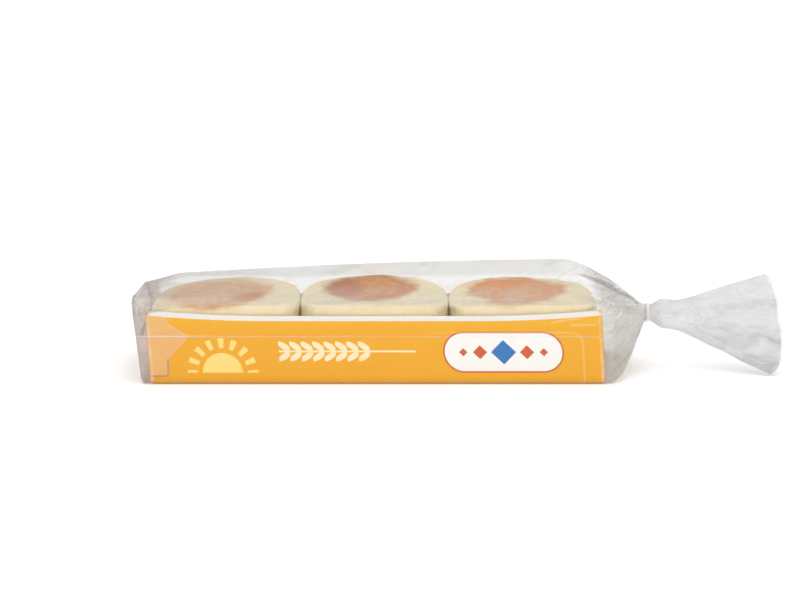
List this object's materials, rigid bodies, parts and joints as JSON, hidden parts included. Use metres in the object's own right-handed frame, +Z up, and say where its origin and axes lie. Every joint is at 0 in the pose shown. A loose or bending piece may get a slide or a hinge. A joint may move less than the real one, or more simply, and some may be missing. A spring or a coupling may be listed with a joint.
{
  "type": "bag of english muffins",
  "caption": "Clear film bag of english muffins in a shallow card tray, heat-sealed flat at one end and gathered into a banded neck with a fanned tail at the other.",
  "frame": {"origin": "middle of the flat base, under the middle of the tray", "axes": "+X from the sealed end to the tail, -Y the front long side, +Z up"},
  "size_m": [0.3922, 0.0928, 0.0623],
  "materials": {
    "film": "clear, glossy and creased",
    "band": "satin",
    "card": "coated and printed, seen through the film",
    "crumb": "griddled bread, seen through the film"
  },
  "bodies": {
    "root": {"bag": "film", "neck_band": "band"}
  },
  "joints": []
}
